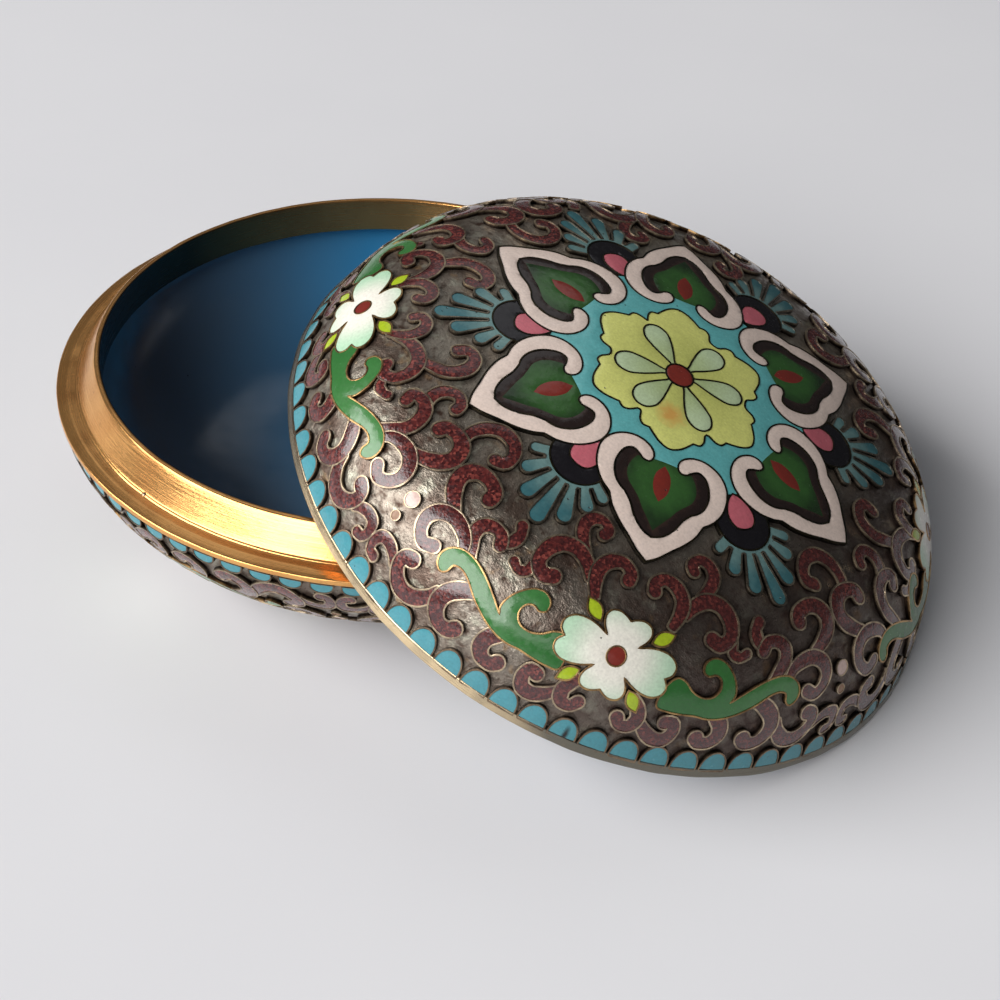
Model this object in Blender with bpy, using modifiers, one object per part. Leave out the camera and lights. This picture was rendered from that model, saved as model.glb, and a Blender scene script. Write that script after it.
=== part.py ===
"""Cloisonne enamel box: a low round box with its lid off and leaning on the base.

Metres, +Z up. The origin is the middle of the base's flat underside, and the base's axis is +Z.
Run with: blender --background --python part.py
"""

import math

import bpy
from mathutils import Vector

# Both halves
RADIUS = 0.0506                 # outside of the base's ledge
WALL = 0.0020                   # copper with enamel on both sides
GAP = 0.0003                    # clearance between pieces that touch
EDGE_ROUND = 0.0002             # small bevel on the collar's edges
TURN_STEPS = 64

# Base
LEDGE_HEIGHT = 0.0228           # ledge's outer edge above the table
COLLAR_THICKNESS = 0.0009       # ledge's outer edge
CREASE_RADIUS = 0.0474          # where the lip rises from the ledge
CREASE_RISE = 0.0003            # crease above the ledge's outer edge
LEDGE_CROWN = 0.0002            # rise of the ledge's middle above a straight line
LIP_RADIUS = 0.0447             # outside of the lip's top edge
LIP_HEIGHT = 0.0277             # lip's top edge above the table
LIP_THICKNESS = 0.0008          # at the top edge
FOOT_RADIUS = 0.0262
FOOT_HEIGHT = 0.0008
FOOT_STEP = 0.0004              # step from the foot out to the bowl
BOWL_EXPONENT = 1.58            # 2 is a quarter ellipse, less is a straighter flare
FLOOR_THICKNESS = 0.0022
TURN_IN = 0.0018                # radius of the bowl's edge where it turns in under the collar

# Lid, in its own frame: the rim's plane is z = 0 and the dome's axis is +Z
LID_RADIUS = 0.0508
LID_HEIGHT = 0.0233
CROWN_RADIUS = 0.1480           # long arc over the top
SHOULDER_RADIUS = 0.0187        # shorter arc between the crown and the skirt
SKIRT_SLOPE = math.radians(72)  # straight skirt above the rim, leaning in
RIM_HEIGHT = 0.0008
RIM_WIDTH = 0.0022

# How the lid leans: its rim's lowest point stands on the table, beside the base
LID_CENTRE_X = 0.03364
LID_CENTRE_Y = -0.02046
LID_TILT = math.radians(21.7)
LID_HEADING = math.radians(-31.3)      # the way the lid slopes down, from +X


def clear_scene():
    """Remove every object of the scene that is open."""
    for scene_object in list(bpy.data.objects):
        bpy.data.objects.remove(scene_object, do_unlink=True)


def arc(centre, radius, start, end, steps):
    """Points (r, z) along an arc, with both ends; the angles are in radians from +r."""
    angles = [start + (end - start) * step / steps for step in range(steps + 1)]
    return [(centre[0] + radius * math.cos(angle), centre[1] + radius * math.sin(angle)) for angle in angles]


def flare(inner, outer, exponent, steps):
    """Points (r, z) of a super-ellipse quarter, from its steep end at `outer` down to `inner`."""
    points = []
    for step in range(steps + 1):
        angle = math.pi / 2 * (1 - step / steps)
        reach = math.sin(angle) ** (2 / exponent)
        rise = 1 - abs(math.cos(angle)) ** (2 / exponent)
        points.append((inner[0] + (outer[0] - inner[0]) * reach, inner[1] + (outer[1] - inner[1]) * rise))
    return points


def bowl_profile():
    """Closed at the axis: from the floor's middle up the inside, over the edge and down the outside."""
    top = LEDGE_HEIGHT - COLLAR_THICKNESS - GAP
    wall_radius = RADIUS - 2 * WALL
    floor_edge = (FOOT_RADIUS - WALL, FLOOR_THICKNESS)
    inside = flare(floor_edge, (wall_radius, top - TURN_IN), BOWL_EXPONENT, 9)
    inside.reverse()
    turned_in = arc((wall_radius - TURN_IN, top - TURN_IN), TURN_IN, 0.0, math.pi / 2, 3)
    outside = flare((FOOT_RADIUS + FOOT_STEP, FOOT_HEIGHT), (RADIUS - GAP, top), BOWL_EXPONENT, 12)
    foot = [(FOOT_RADIUS, FOOT_HEIGHT), (FOOT_RADIUS, 0.0), (0.0, 0.0)]
    return [(0.0, FLOOR_THICKNESS)] + inside + turned_in[1:] + outside + foot


def collar_profile():
    """Closed ring: down the lip's outside, over the ledge, under it and up the inside."""
    lip_inside = LIP_RADIUS - LIP_THICKNESS
    ledge_bottom = LEDGE_HEIGHT - COLLAR_THICKNESS
    crease = (CREASE_RADIUS, LEDGE_HEIGHT + CREASE_RISE)
    ledge_middle = ((CREASE_RADIUS + RADIUS) / 2, LEDGE_HEIGHT + CREASE_RISE / 2 + LEDGE_CROWN)
    return [
        (LIP_RADIUS - EDGE_ROUND, LIP_HEIGHT),
        (LIP_RADIUS, LIP_HEIGHT - EDGE_ROUND),
        crease,
        ledge_middle,
        (RADIUS - EDGE_ROUND, LEDGE_HEIGHT),
        (RADIUS, LEDGE_HEIGHT - EDGE_ROUND),
        (RADIUS, ledge_bottom),
        (lip_inside, ledge_bottom),
        (lip_inside, LIP_HEIGHT - EDGE_ROUND),
        (lip_inside + EDGE_ROUND, LIP_HEIGHT),
    ]


def dome_curve(inset, foot_z):
    """Points (r, z) of the dome from its axis down to the skirt's foot, moved in by `inset`."""
    up_skirt = Vector((-math.cos(SKIRT_SLOPE), math.sin(SKIRT_SLOPE)))
    into_skirt = Vector((-math.sin(SKIRT_SLOPE), -math.cos(SKIRT_SLOPE)))
    crown_centre = Vector((0.0, LID_HEIGHT - CROWN_RADIUS))
    # The shoulder's circle touches the skirt's line and, from inside, the crown's circle
    shoulder_foot = Vector((LID_RADIUS, 0.0)) + SHOULDER_RADIUS * into_skirt
    from_crown = shoulder_foot - crown_centre
    along = from_crown.dot(up_skirt)
    reach = (CROWN_RADIUS - SHOULDER_RADIUS) ** 2 - from_crown.length_squared + along ** 2
    shoulder_centre = shoulder_foot + (math.sqrt(reach) - along) * up_skirt

    to_shoulder = shoulder_centre - crown_centre
    touch = math.atan2(to_shoulder.y, to_shoulder.x)
    crown = arc(crown_centre, CROWN_RADIUS - inset, math.pi / 2, touch, 8)
    shoulder = arc(shoulder_centre, SHOULDER_RADIUS - inset, touch, math.pi / 2 - SKIRT_SLOPE, 6)
    foot_r = LID_RADIUS - inset / math.sin(SKIRT_SLOPE) - foot_z / math.tan(SKIRT_SLOPE)
    apex = (0.0, crown[0][1])
    return [apex] + crown[1:] + shoulder[1:] + [(foot_r, foot_z)]


def dome_profile():
    """Closed at the axis: down the outside from the apex, across the edge and up the inside."""
    foot_z = RIM_HEIGHT + GAP
    inside = dome_curve(WALL, foot_z)
    inside.reverse()
    return dome_curve(0.0, foot_z) + inside


def rim_profile():
    """Closed ring: down the outside, under it and up the inside."""
    inner = LID_RADIUS - RIM_WIDTH
    return [(LID_RADIUS, RIM_HEIGHT), (LID_RADIUS, 0.0), (inner, 0.0), (inner, RIM_HEIGHT)]


def make_material(name, colour, metallic, roughness):
    """A Principled BSDF material in one colour."""
    material = bpy.data.materials.new(name)
    material.use_nodes = True
    shader = material.node_tree.nodes["Principled BSDF"]
    shader.inputs["Base Color"].default_value = (*colour, 1.0)
    shader.inputs["Metallic"].default_value = metallic
    shader.inputs["Roughness"].default_value = roughness
    material.diffuse_color = (*colour, 1.0)
    return material


def turned(name, profile, is_ring, material, collection, parent=None):
    """A solid of revolution about its own +Z axis, from a profile of (r, z) points."""
    count = len(profile)
    edges = [(index, index + 1) for index in range(count - 1)]
    if is_ring:
        edges.append((count - 1, 0))
    mesh = bpy.data.meshes.new(name)
    mesh.from_pydata([(r, 0.0, z) for r, z in profile], edges, [])
    piece = bpy.data.objects.new(name, mesh)
    collection.objects.link(piece)
    piece.parent = parent
    mesh.materials.append(material)

    screw = piece.modifiers.new("turn", "SCREW")
    screw.axis = "Z"
    screw.angle = math.tau
    screw.steps = TURN_STEPS
    screw.render_steps = TURN_STEPS
    screw.use_merge_vertices = True
    screw.merge_threshold = 0.00001
    screw.use_smooth_shade = True
    return piece


def lid_pose(collection):
    """An empty at the middle of the lid's rim, turned to the leaning lid's own axes."""
    pose = bpy.data.objects.new("lid_pose", None)
    collection.objects.link(pose)
    pose.empty_display_size = LID_RADIUS
    pose.location = (LID_CENTRE_X, LID_CENTRE_Y, LID_RADIUS * math.sin(LID_TILT))
    pose.rotation_euler = (0.0, LID_TILT, LID_HEADING)
    return pose


def main():
    clear_scene()
    collection = bpy.data.collections.new("cloisonne_box")
    bpy.context.scene.collection.children.link(collection)

    base_enamel = make_material("base_enamel", (0.10, 0.06, 0.06), 0.0, 0.35)
    lid_enamel = make_material("lid_enamel", (0.13, 0.05, 0.05), 0.0, 0.35)
    collar_gilt = make_material("collar_gilt", (0.80, 0.50, 0.20), 1.0, 0.30)
    rim_gilt = make_material("rim_gilt", (0.62, 0.42, 0.22), 1.0, 0.40)

    turned("base_bowl", bowl_profile(), False, base_enamel, collection)
    turned("base_collar", collar_profile(), True, collar_gilt, collection)

    pose = lid_pose(collection)
    turned("lid_dome", dome_profile(), False, lid_enamel, collection, pose)
    turned("lid_rim", rim_profile(), True, rim_gilt, collection, pose)
    bpy.context.view_layer.update()


main()
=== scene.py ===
"""Looks of the cloisonne enamel box: enamel cells inside standing wires, on a metal ground.

The ornament is drawn flat, in millimetres, in the unrolled frame of each half of the box: a flat
point's distance from the origin is the arc from that half's pole, and its direction is the angle
round the half's axis. One triangulation lays all the cells of a half on its turned surface.
"""

import math
from dataclasses import dataclass, replace

import bpy
import numpy as np
from mathutils import Matrix, Vector
from mathutils.geometry import delaunay_2d_cdt
from mathutils.kdtree import KDTree


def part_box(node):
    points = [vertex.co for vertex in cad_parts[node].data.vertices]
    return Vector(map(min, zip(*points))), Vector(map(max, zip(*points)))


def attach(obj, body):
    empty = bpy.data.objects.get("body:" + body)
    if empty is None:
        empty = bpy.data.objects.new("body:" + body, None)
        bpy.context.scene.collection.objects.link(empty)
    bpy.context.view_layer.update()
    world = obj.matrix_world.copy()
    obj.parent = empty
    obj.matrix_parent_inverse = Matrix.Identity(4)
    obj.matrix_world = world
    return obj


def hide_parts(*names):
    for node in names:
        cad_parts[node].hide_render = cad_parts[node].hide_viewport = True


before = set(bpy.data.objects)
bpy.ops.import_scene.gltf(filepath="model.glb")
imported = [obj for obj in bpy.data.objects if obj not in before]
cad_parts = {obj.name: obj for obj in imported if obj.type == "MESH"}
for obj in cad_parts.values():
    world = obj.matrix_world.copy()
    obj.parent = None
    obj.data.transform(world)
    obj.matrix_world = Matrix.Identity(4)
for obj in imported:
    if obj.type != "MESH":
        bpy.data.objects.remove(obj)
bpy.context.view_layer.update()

MM = 0.001
TAU = math.tau
QUARTER_TURN = math.pi / 2

# ---------------------------------------------------------------- sizes of the box, as in the frame
LID_TILT = math.radians(21.7)
LID_HEADING = math.radians(-31.3)
LID_RADIUS = 50.8
LID_HEIGHT = 23.3
CROWN_RADIUS = 148.0
SHOULDER_RADIUS = 18.7
SKIRT_SLOPE = math.radians(72)
RIM_HEIGHT = 0.8

RADIUS = 50.6
WALL = 2.0
GAP = 0.3
LEDGE_HEIGHT = 22.8
COLLAR_THICKNESS = 0.9
CREASE_RADIUS = 47.4
CREASE_RISE = 0.3
CREASE_BEAD = 0.22
BEAD_ANGLE = math.radians(224)  # where a drop of solder sits on the crease
BEAD_RADIUS = 0.42
BEAD_FOOT = -0.3
LEDGE_CROWN = 0.2
LIP_RADIUS = 44.7
LIP_HEIGHT = 27.7
LIP_THICKNESS = 0.8
LIP_INSIDE = LIP_RADIUS - LIP_THICKNESS
FOOT_RADIUS = 26.2
FOOT_HEIGHT = 0.8
FOOT_STEP = 0.4
FOOT_WIDTH = 2.0
FOOT_TOP = 1.6
UNDERSIDE_TOP = 1.2
UNDERSIDE_BOTTOM = 0.5
BOWL_EXPONENT = 1.58
FLOOR_THICKNESS = 2.2
LINING_THICKNESS = 0.6
TURN_IN = 1.8
BOWL_TOP = LEDGE_HEIGHT - COLLAR_THICKNESS - GAP

# Heights over a half's outer surface
WIRE_EDGE = -0.025
WIRE_FOOT = -1.05
ENAMEL_EDGE = -0.10
ENAMEL_MIDDLE = -0.05
ENAMEL_FOOT = -0.50
GROUND_TOP = -0.68
GROUND_BUMPS = 0.07
GROUND_FOOT = -1.40
LINING_FOOT = -2.00
TOP_BUMPS = 0.02

# Arcs from the lid's pole, and the width of its rim underneath
GROUND_END_ARC = 60.4
RIM_TOP_ARC = 60.2
RIM_INSIDE_ARC = 59.6
RIM_WIDTH = 2.2

WIRE_WIDTH = 0.25
EYE_WIRE = 0.22
PINK_WIRE = 0.20
DOT_WIRE = 0.15
STEP = 0.36                     # between the points of an outline
FILL_SPACING = 0.75             # between the points inside a cell
FILL_MARGIN = 0.30              # no inside point nearer than this to a wire


# ---------------------------------------------------------------- flat curves
CORNER = True
RUN_STEPS = 12                  # curve points between two given ones, before they are spaced evenly
NOISE_CELLS = 97                # cells of the noise table, each way
MITRE_LIMIT = 0.55              # keeps the mitre of a sharp corner short


def curve_through(points, closed=False):
    """Evenly spaced points on a smooth curve through the given ones. A third value marks a corner."""
    corners = [index for index, point in enumerate(points) if len(point) > 2]
    places = np.array([point[:2] for point in points], float)
    if closed and not corners:
        wrapped = np.vstack((places[-3:], places, places[:3]))
        return evenly(smooth_run(wrapped, 3, len(places) + 3))[:-1]
    if closed:
        places = np.roll(places, -corners[0], 0)
        corners = [index - corners[0] for index in corners] + [len(places)]
        places = np.vstack((places, places[:1]))
        runs = [places[start:end + 1] for start, end in zip(corners, corners[1:])]
        return np.vstack([evenly(smooth_run(run))[:-1] for run in runs])
    return evenly(smooth_run(places))


def smooth_run(places, first=0, last=None):
    """Centripetal Catmull-Rom points from places[first] to places[last]."""
    last = len(places) - 1 if last is None else last
    padded = np.vstack((2 * places[0] - places[1], places, 2 * places[-1] - places[-2]))
    gaps = np.maximum(np.hypot(*np.diff(padded, axis=0).T) ** 0.5, 1e-6)
    points = []
    for index in range(first, last):
        knots = np.concatenate(([0.0], np.cumsum(gaps[index:index + 3])))
        t = np.linspace(knots[1], knots[2], RUN_STEPS, endpoint=False)[:, None]
        rows = padded[index:index + 4]
        for spans in (((0, 1), (1, 2), (2, 3)), ((0, 2), (1, 3)), ((1, 2),)):
            rows = [blended(rows[row], rows[row + 1], t, knots[low], knots[high])
                    for row, (low, high) in enumerate(spans)]
        points.append(rows[0])
    return np.vstack(points + [places[last][None]])


def blended(first, second, t, low, high):
    """From the first value, where t is low, to the second one, where it is high."""
    return (high - t) / (high - low) * first + (t - low) / (high - low) * second


def evenly(points, step=STEP):
    """The same line with points about one step apart, both ends kept."""
    lengths = np.hypot(*np.diff(points, axis=0).T)
    along = np.concatenate(([0.0], np.cumsum(lengths)))
    count = max(int(round(along[-1] / step)), 2)
    marks = np.linspace(0.0, along[-1], count + 1)
    return np.stack([np.interp(marks, along, values) for values in points.T], 1)


def flipped(points):
    """The points mirrored in x, in the opposite order."""
    return [(-x, *rest) for x, *rest in reversed(points)]


def mirrored(half):
    """A closed outline from its right half, which starts and ends on the axis x = 0."""
    return [*half, *flipped(half[1:-1])]


def arch(half):
    """An open line from its right half, which ends on the axis x = 0."""
    return [*half, *flipped(half[:-1])]


def unit(angle):
    """The flat direction at an angle."""
    return np.array((math.cos(angle), math.sin(angle)))


def counterclockwise(outline):
    """The outline, turned round if it runs clockwise."""
    x, y = outline.T
    area = np.sum(x * np.roll(y, -1) - np.roll(x, -1) * y)
    return outline if area > 0 else outline[::-1]


def directions(line):
    """The unit direction of an open line at each of its points."""
    ahead = np.gradient(line, axis=0)
    return ahead / np.hypot(*ahead.T)[:, None]


def offset(outline, distance):
    """The outline moved out (or in, if negative) by a distance, with mitred corners."""
    ahead = np.roll(outline, -1, 0) - outline
    ahead /= np.maximum(np.hypot(*ahead.T), 1e-9)[:, None]
    normals = np.stack((ahead[:, 1], -ahead[:, 0]), 1)
    before = np.roll(normals, 1, 0)
    share = np.maximum(1 + np.sum(normals * before, 1), MITRE_LIMIT)
    return outline + distance * (normals + before) / share[:, None]


def winding(points, outline):
    """How many times a closed outline winds round each point."""
    x, y = points[:, 0, None], points[:, 1, None]
    x1, y1 = outline.T
    x2, y2 = np.roll(outline, -1, 0).T
    side = (x2 - x1) * (y - y1) - (x - x1) * (y2 - y1)
    up = (y1 <= y) & (y2 > y) & (side > 0)
    down = (y1 > y) & (y2 <= y) & (side < 0)
    return up.sum(1) - down.sum(1)


def smooth_step(part):
    """0 to 1 with level ends."""
    return part * part * (3 - 2 * part)


def value_noise(flat, size, seed):
    """Smooth noise from -1 to 1 over flat points, with lumps of the given size."""
    table = np.random.default_rng(seed).uniform(-1, 1, (NOISE_CELLS, NOISE_CELLS))
    place = flat / size
    cell = np.floor(place).astype(int)
    across, up = smooth_step(place - cell).T
    (left, low), (right, high) = (cell % NOISE_CELLS).T, ((cell + 1) % NOISE_CELLS).T
    bottom = table[left, low] * (1 - across) + table[right, low] * across
    top = table[left, high] * (1 - across) + table[right, high] * across
    return bottom * (1 - up) + top * up


# ---------------------------------------------------------------- cells
@dataclass
class Cell:
    """One field of enamel: its outline, the wire round it, and how its colour fades from a centre."""
    enamel: str
    outline: np.ndarray
    wire: str = ""
    width: float = WIRE_WIDTH
    centre: tuple = (0.0, 0.0)
    near: float = 0.0
    far: float = 0.0


def placed(cells, turn=0.0, shift=(0.0, 0.0), mirror=False):
    """Copies of cells: mirrored in x if asked, then turned by degrees, then shifted."""
    angle = math.radians(turn)
    matrix = np.array(((math.cos(angle), -math.sin(angle)), (math.sin(angle), math.cos(angle))))
    if mirror:
        matrix = matrix @ np.diag((-1.0, 1.0))
    shift = np.array(shift)
    copies = []
    for cell in cells:
        outline = counterclockwise(cell.outline @ matrix.T + shift)
        centre = matrix @ np.array(cell.centre) + shift
        copies.append(replace(cell, outline=outline, centre=tuple(centre)))
    return copies


def circle(centre, radius):
    """A round outline."""
    steps = max(10, int(TAU * radius / STEP))
    angles = np.arange(steps) * TAU / steps
    return np.stack((centre[0] + radius * np.cos(angles), centre[1] + radius * np.sin(angles)), 1)


SCROLL_MARKS = (0, 0.25, 0.55, 0.8, 1)          # along a scroll, from its tail
SCROLL_SHARES = (0.64, 0.93, 1.0, 0.82, 0.92)   # of its width, at those marks


def scroll(width, spine):
    """A curled band along its spine, narrower at its tail and rounded at both ends."""
    middle = curve_through(spine)
    half = width / 2 * np.interp(np.linspace(0, 1, len(middle)), SCROLL_MARKS, SCROLL_SHARES)
    ahead = directions(middle)
    left = np.stack((-ahead[:, 1], ahead[:, 0]), 1)
    side = half[:, None] * left
    turns = np.linspace(-QUARTER_TURN, QUARTER_TURN, 8)[1:-1, None]
    head = middle[-1] + half[-1] * (np.cos(turns) * ahead[-1] + np.sin(turns) * left[-1])
    tail = middle[0] - half[0] * (0.5 * np.cos(turns) * ahead[0] + np.sin(turns) * left[0])
    return Cell("scrolls", np.vstack((middle - side, head, (middle + side)[::-1], tail)), "scroll_wires")


def scrolls(table):
    """Scrolls from rows of (width, spine)."""
    return [scroll(*row) for row in table]


# Scrolls of one quarter of the lid, in its frame: +y runs out through the quarter's white dot.
# The rows run from the top one down; each tail is hidden under its neighbour.
OUTER_SCROLLS = (
    (2.7, ((-16.8, 45.6), (-15.0, 47.4), (-13.9, 49.3), (-13.8, 51.0), (-14.7, 52.4), (-16.5, 53.1),
           (-18.1, 52.5), (-18.6, 51.5))),
    (2.6, ((-12.9, 50.6), (-12.6, 52.4), (-11.3, 54.4), (-9.2, 55.25), (-7.3, 54.7), (-6.0, 53.2),
           (-6.2, 51.9), (-7.1, 51.4))),
    (1.9, ((-5.6, 54.3), (-4.6, 53.5), (-3.0, 52.9), (-1.4, 53.2), (-0.8, 54.6), (-1.3, 55.9), (-2.4, 56.1))),
    (2.6, ((-23.4, 44.6), (-22.6, 46.2), (-22.1, 47.8), (-22.5, 49.4), (-24.0, 50.1), (-25.5, 49.5),
           (-25.9, 48.5))),
    (2.3, ((-33.2, 38.6), (-33.1, 40.4), (-33.6, 42.0), (-35.0, 42.7), (-36.2, 41.9), (-36.2, 40.6))),
    (2.4, ((-33.4, 42.6), (-33.0, 44.6), (-32.1, 46.2), (-30.6, 46.9), (-29.1, 46.0), (-28.9, 44.7),
           (-29.9, 44.2))),
    (2.2, ((-10.6, 45.4), (-9.4, 44.1), (-7.6, 43.5), (-5.6, 43.6), (-3.9, 44.8), (-3.5, 46.6), (-4.4, 48.1),
           (-6.0, 48.8), (-7.4, 47.9))),
    (2.5, ((-5.4, 43.2), (-3.4, 42.2), (-1.8, 40.8), (-1.3, 39.2), (-2.2, 37.5), (-4.1, 36.9), (-5.9, 37.5),
           (-6.2, 38.4))),
)
CENTRE_SCROLLS = (
    (2.2, ((3.0, 36.9), (3.6, 35.0), (3.1, 32.6), (1.5, 31.0), (-0.6, 30.9), (-2.2, 32.2), (-2.5, 33.8),
           (-1.6, 34.6))),
)
FAN_SIDE_SCROLLS = (
    (1.9, ((24.6, 34.6), (23.2, 33.8), (22.1, 32.5), (21.9, 30.8), (22.8, 29.5), (24.2, 29.3), (24.8, 30.3))),
    (2.2, ((23.4, 34.2), (21.5, 33.6), (19.3, 33.6), (17.3, 34.6), (16.4, 36.6), (17.2, 38.7), (19.1, 39.2),
           (19.9, 38.1))),
    (2.2, ((17.6, 34.4), (15.6, 33.4), (13.9, 32.3), (13.0, 30.6), (13.0, 28.9), (14.0, 27.5), (15.6, 27.4),
           (16.3, 28.7))),
    (1.6, ((18.2, 39.8), (17.2, 41.0), (15.9, 41.1), (15.3, 40.9))),
    (2.2, ((12.4, 45.2), (10.8, 43.8), (9.3, 42.2), (8.9, 40.3), (9.8, 38.4), (11.6, 37.7), (13.1, 38.3),
           (12.8, 39.4))),
    (2.0, ((9.2, 39.6), (10.6, 37.8), (11.3, 35.9), (10.9, 34.2), (9.5, 33.2), (8.1, 33.8), (7.7, 34.8))),
)
TIP_SIDE_SCROLLS = (
    (2.2, ((-24.2, 32.9), (-22.4, 31.8), (-21.1, 30.3), (-20.9, 28.4), (-21.9, 26.8), (-23.5, 26.7),
           (-24.2, 27.6))),
    (2.4, ((-21.9, 32.2), (-19.8, 31.5), (-17.6, 31.6), (-16.0, 33.0), (-15.7, 35.2), (-16.6, 37.1),
           (-18.4, 37.5), (-19.3, 36.4))),
    (2.0, ((-18.6, 30.8), (-16.6, 30.2), (-15.0, 29.0), (-14.6, 27.4), (-15.6, 26.1), (-17.1, 26.3),
           (-17.3, 27.2))),
    (1.6, ((-16.2, 37.6), (-17.0, 39.0), (-16.2, 40.0), (-15.0, 39.9))),
    (2.1, ((-12.4, 45.2), (-10.6, 43.9), (-9.2, 42.6), (-8.8, 41.2), (-9.6, 40.0), (-11.2, 39.6),
           (-12.3, 40.4))),
    (1.9, ((-11.9, 40.2), (-12.7, 38.8), (-12.4, 37.4), (-11.5, 36.6))),
)

LEAF_SPRAY = (
    (-30.6, 41.2), (-29.2, 42.7), (-27.4, 43.9), (-25.6, 44.9), (-24.2, 45.9), (-22.4, 46.7), (-19.8, 47.1),
    (-16.5, 46.9), (-13.6, 46.3), (-12.1, 46.4), (-11.2, 47.0), (-11.3, 48.2), (-10.7, 48.95), (-9.6, 48.7),
    (-8.8, 47.7), (-8.9, 46.2), (-10.0, 44.9), (-11.8, 44.2), (-14.5, 44.1), (-17.6, 44.5),
    (-20.2, 45.0, CORNER), (-19.3, 44.4), (-18.8, 42.8), (-18.9, 41.0), (-19.6, 39.2), (-20.9, 38.2),
    (-22.3, 38.4), (-22.9, 39.4), (-22.4, 40.2), (-21.4, 40.4), (-20.8, 41.3), (-21.2, 42.6), (-22.5, 43.2),
    (-24.1, 42.6), (-25.2, 41.2), (-25.7, 39.6), (-26.6, 38.6), (-28.5, 39.0),
)

# Quarter of a flower: +x runs round the lid and +y outward
FLOWER_QUARTER = (
    (7.6, 0.0, CORNER), (8.4, 0.9), (8.3, 2.1), (7.1, 3.0), (5.3, 3.1), (3.8, 2.75), (2.3, 2.1, CORNER),
    (3.1, 3.2), (3.4, 4.4), (2.9, 5.3), (1.8, 5.6), (0.8, 5.35), (0.0, 4.9, CORNER),
)
FLOWER_RED_RADIUS = 1.35
BUD_PLACES = ((5.1, 4.6, -48.0), (-5.1, 4.6, 48.0), (-5.1, -4.6, 132.0), (5.1, -4.6, -132.0))
BUD_HALF = ((0.0, 1.75, CORNER), (0.75, 0.75), (0.95, -0.2), (0.55, -1.2), (0.0, -1.75, CORNER))
FLOWER_TURN = -2.0

MEDALLION = (-0.705, -0.482)
BAND_HALF = (
    (0.0, 32.9, CORNER), (1.5, 31.8), (3.2, 30.0), (4.9, 28.2), (6.2, 26.3), (6.9, 24.5, CORNER), (8.2, 23.2),
    (9.2, 21.4), (9.6, 19.3), (9.35, 17.1), (8.2, 15.3), (6.6, 14.3), (4.9, 14.0), (3.3, 14.4), (2.1, 15.4),
    (1.8, 16.6), (2.3, 17.45), (3.2, 17.4), (4.0, 16.7), (4.9, 16.2), (5.9, 16.7), (6.7, 18.2), (6.95, 20.0),
    (6.5, 21.8), (5.7, 22.9), (4.9, 23.5, CORNER), (3.9, 24.8), (2.9, 26.8), (1.5, 28.4), (0.0, 29.1, CORNER),
)
HEART_FIELD_HALF = ((0.0, 29.9, CORNER), (5.5, 24.2), (8.0, 19.8), (7.0, 16.0), (4.5, 15.2), (2.0, 17.0),
                    (0.0, 17.0))
HEART_HALF = ((0.0, 28.0, CORNER), (0.9, 26.7), (2.1, 25.0), (2.8, 23.8), (3.7, 22.7, CORNER), (4.7, 21.5),
              (5.1, 20.0), (4.8, 18.5), (4.1, 17.2, CORNER), (2.0, 16.8), (0.0, 16.7))
OVAL_HALF = ((0.0, 23.3, CORNER), (0.9, 22.0), (1.25, 20.4), (1.0, 18.7), (0.0, 17.3, CORNER))
INNER_PETAL_HALF = ((0.0, 9.8), (1.25, 9.3), (1.95, 7.8), (1.75, 6.2), (1.1, 4.2), (0.4, 2.4), (0.3, 1.2),
                    (0.0, 1.0))
OUTER_PETAL_HALF = ((0.0, 14.2), (1.5, 13.6), (2.9, 12.2), (3.3, 11.7, CORNER), (4.3, 11.6), (4.8, 10.8),
                    (4.9, 9.3))
BAND_ANGLES = (235.0, 293.0, 354.8, 54.5, 114.1, 174.5)
FANS = ((264.1, 0.0), (324.0, 0.3), (25.3, 0.4), (85.3, 1.1), (142.0, 0.4), (202.8, -0.6))
INNER_PETAL_ANGLES = (211.2, 146.1, 76.4, 26.0, 322.0, 258.1)
OUTER_PETAL_ANGLES = (54.9, 118.2, 173.7, 235.9, 293.5, 351.0)
MEDALLION_RED_RADIUS = 2.1
DISC_RADIUS = 20.2

CRESCENT_CENTRE = (0.1, 24.0)
CRESCENT_RADIUS = 4.2
PINK_HALF = ((0.0, 25.1), (1.4, 24.7), (2.05, 23.4), (1.95, 22.2), (1.4, 21.0), (0.8, 20.2),
             (0.0, 19.6, CORNER))
SLOT_RADIUS = 4.8
SLOT_HALF_WIDTH = 0.25
FAN_FOOT_RADIUS = 3.0
FAN_FOOT_TURN = 0.3             # in radians, past the first and the last finger
FAN_END_TURN = 0.44             # the same, for the fingers that would come next
# Fingers of a fan, counterclockwise: angle, reach and half width, about the crescent's centre
FINGERS = ((33.0, 7.0, 0.85), (59.0, 8.6, 1.05), (80.5, 10.6, 1.15), (99.0, 12.5, 1.2), (116.5, 10.6, 1.15),
           (137.0, 8.4, 1.05), (158.0, 7.4, 0.85))

SCALLOP_COUNT = 72
SCALLOP_HALF_WIDTH = 2.3
SCALLOP_OUTER = 60.5
SCALLOP_DEPTH = 3.2
SCALLOP_STRAIGHT = 0.5          # of its sides, before the round end

# Quarters of the lid: angle of the white dot, mirrored or not, and extra turns of the inner scrolls
QUARTERS = ((247.9, False, (0.0, 0.0, 0.0)), (337.9, True, (3.0, 1.5, -1.6)),
            (67.9, False, (0.0, 1.0, 4.0)), (157.9, True, (5.5, 2.0, 3.0)))
FLOWERS = ((203.75, 47.2), (291.9, 46.6), (22.9, 46.5), (112.9, 46.5))
DOT_PLACE = (-0.2, 46.8)
DOT_RADIUS = 1.15
WORN_DOT_PLACE = (-0.4, 49.9)
WORN_DOT_RADIUS = 0.75


def shape(enamel, points, wire="", **facts):
    """A cell whose outline is a smooth closed curve."""
    return Cell(enamel, curve_through(points, closed=True), wire, **facts)


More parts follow.
